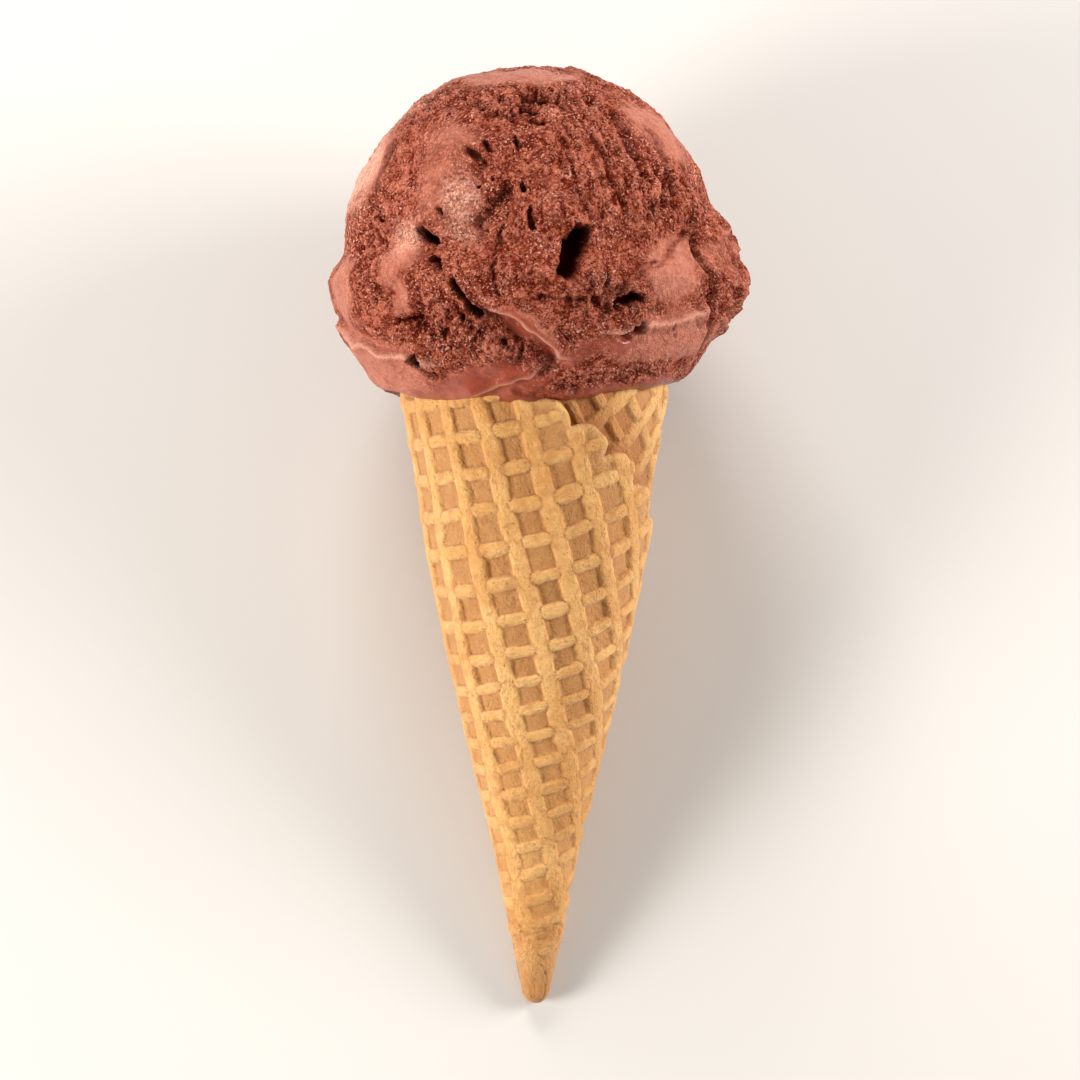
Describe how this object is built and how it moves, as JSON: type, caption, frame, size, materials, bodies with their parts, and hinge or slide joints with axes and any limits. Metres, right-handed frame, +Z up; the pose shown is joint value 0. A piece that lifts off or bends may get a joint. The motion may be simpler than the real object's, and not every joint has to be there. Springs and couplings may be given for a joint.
{
  "type": "ice cream cone",
  "caption": "Scoop of chocolate ice cream pressed onto a rolled waffle cone with a baked lattice pattern, lying on its back.",
  "frame": {"origin": "middle of the bounding box in X and Y, on the ground in Z", "axes": "+Y runs level from the cone's tip to the top of the scoop, +Z up out of the shown side, +X to the right of the shown side"},
  "size_m": [0.0772, 0.1672, 0.0703],
  "materials": {
    "ice_cream": "chocolate ice cream: reddish brown, satin where it is smooth and melting, dull and icy where it is torn",
    "wafer": "baked wafer: golden tan, dry and slightly porous, browner on some ribs"
  },
  "bodies": {
    "root": {"ice_cream": "ice_cream", "waffle_cone": "wafer"}
  },
  "joints": []
}
